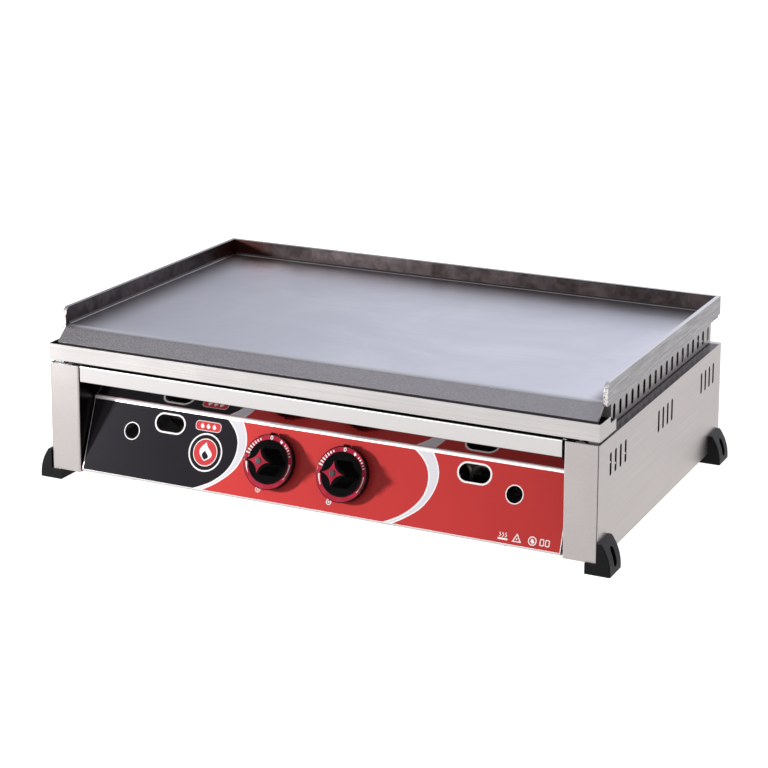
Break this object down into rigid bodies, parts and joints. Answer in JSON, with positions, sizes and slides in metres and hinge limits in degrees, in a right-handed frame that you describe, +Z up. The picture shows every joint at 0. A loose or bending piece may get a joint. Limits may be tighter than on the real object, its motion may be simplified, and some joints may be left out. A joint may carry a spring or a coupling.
{
  "type": "flat top griddle",
  "caption": "Countertop gas griddle: flat steel plate with upstands, folded stainless body, leaning control face with turn knobs, slide-out grease tray, plastic feet.",
  "frame": {"origin": "centre of the body's footprint, on the plane the feet stand on", "axes": "+Z up, +X to the user's right, the control face looks towards -Y"},
  "size_m": [0.732, 0.4906, 0.2063],
  "materials": {
    "stainless_body": "satin, fine brushed lines",
    "stainless_mirror": "polished, mirror-like",
    "printed_film": "glossy printed film",
    "galvanised_sheet": "dull",
    "plate_steel": "ground steel, satin",
    "upstand_steel": "ground steel with heat tint",
    "burner_steel": "satin tube",
    "brass": "machined",
    "spindle_steel": "machined",
    "pipe_steel": "grey paint",
    "pipe_aluminium": "drawn",
    "copper_lead": "drawn copper",
    "zinc_fasteners": "zinc plated",
    "foot_plastic": "moulded, fine grain",
    "knob_black": "glossy",
    "knob_red": "glossy",
    "knob_grey": "satin"
  },
  "bodies": {
    "chassis": {"base_panel": "galvanised_sheet", "burner_left": "burner_steel", "burner_rail_front": "galvanised_sheet", "burner_rail_rear": "galvanised_sheet", "burner_right": "burner_steel", "casing_screws": "zinc_fasteners", "control_overlay": "printed_film", "cross_member": "galvanised_sheet", "feed_pipe_left": "pipe_aluminium", "feed_pipe_right": "pipe_aluminium", "flue_skirt_front": "stainless_body", "flue_skirt_left": "stainless_body", "flue_skirt_rear": "stainless_body", "flue_skirt_right": "stainless_body", "foot_front_left": "foot_plastic", "foot_front_right": "foot_plastic", "foot_rear_left": "foot_plastic", "foot_rear_right": "foot_plastic", "foot_screws": "zinc_fasteners", "front_panel": "stainless_mirror", "gas_manifold": "pipe_steel", "griddle_plate": "plate_steel", "heat_shield": "galvanised_sheet", "injector_bracket_left": "galvanised_sheet", "injector_bracket_right": "galvanised_sheet", "injector_left": "brass", "injector_right": "brass", "inlet_fitting": "brass", "inlet_locknut": "brass", "plate_nuts": "zinc_fasteners", "plate_studs": "zinc_fasteners", "rear_panel": "stainless_body", "side_panel_left": "stainless_body", "side_panel_right": "stainless_body", "thermocouple_left": "copper_lead", "thermocouple_right": "copper_lead", "tray_runners": "galvanised_sheet", "upstand_left": "upstand_steel", "upstand_rear": "upstand_steel", "upstand_right": "upstand_steel", "valve_body_left": "brass", "valve_body_right": "brass", "valve_gland_left": "brass", "valve_gland_right": "brass"},
    "grease_tray": {"grease_tray": "stainless_body"},
    "push_left": {"valve_plunger_left": "brass"},
    "knob_left": {"spindle_left": "spindle_steel", "knob_body_left": "knob_black", "knob_ring_left": "knob_red", "knob_badge_left": "knob_red", "knob_button_left": "knob_grey"},
    "shutter_left": {"air_shutter_left": "burner_steel"},
    "push_right": {"valve_plunger_right": "brass"},
    "knob_right": {"spindle_right": "spindle_steel", "knob_body_right": "knob_black", "knob_ring_right": "knob_red", "knob_badge_right": "knob_red", "knob_button_right": "knob_grey"},
    "shutter_right": {"air_shutter_right": "burner_steel"}
  },
  "joints": [
    {"name": "grease_tray_slide", "type": "slide", "parent": "chassis", "child": "grease_tray", "axis": [0, -1, 0], "range_m": [0, 0.085]},
    {"name": "knob_left_push", "type": "slide", "parent": "chassis", "child": "push_left", "axis": [0, 0.9359, -0.3523], "range_m": [0, 0.004], "stiffness_N_per_m": 1500, "springref_m": -0.002},
    {"name": "knob_left_turn", "type": "hinge", "parent": "push_left", "child": "knob_left", "pos_m": [-0.055, -0.20537, 0.05867], "axis": [0, -0.9359, 0.3523], "range_deg": [0, 210]},
    {"name": "air_shutter_left_turn", "type": "hinge", "parent": "chassis", "child": "shutter_left", "pos_m": [-0.165, -0.1615, 0.07], "axis": [0, -1, 0], "range_deg": [0, 60]},
    {"name": "knob_right_push", "type": "slide", "parent": "chassis", "child": "push_right", "axis": [0, 0.9359, -0.3523], "range_m": [0, 0.004], "stiffness_N_per_m": 1500, "springref_m": -0.002},
    {"name": "knob_right_turn", "type": "hinge", "parent": "push_right", "child": "knob_right", "pos_m": [0.0397, -0.20537, 0.05867], "axis": [0, -0.9359, 0.3523], "range_deg": [0, 210]},
    {"name": "air_shutter_right_turn", "type": "hinge", "parent": "chassis", "child": "shutter_right", "pos_m": [0.165, -0.1615, 0.07], "axis": [0, -1, 0], "range_deg": [0, 60]}
  ]
}
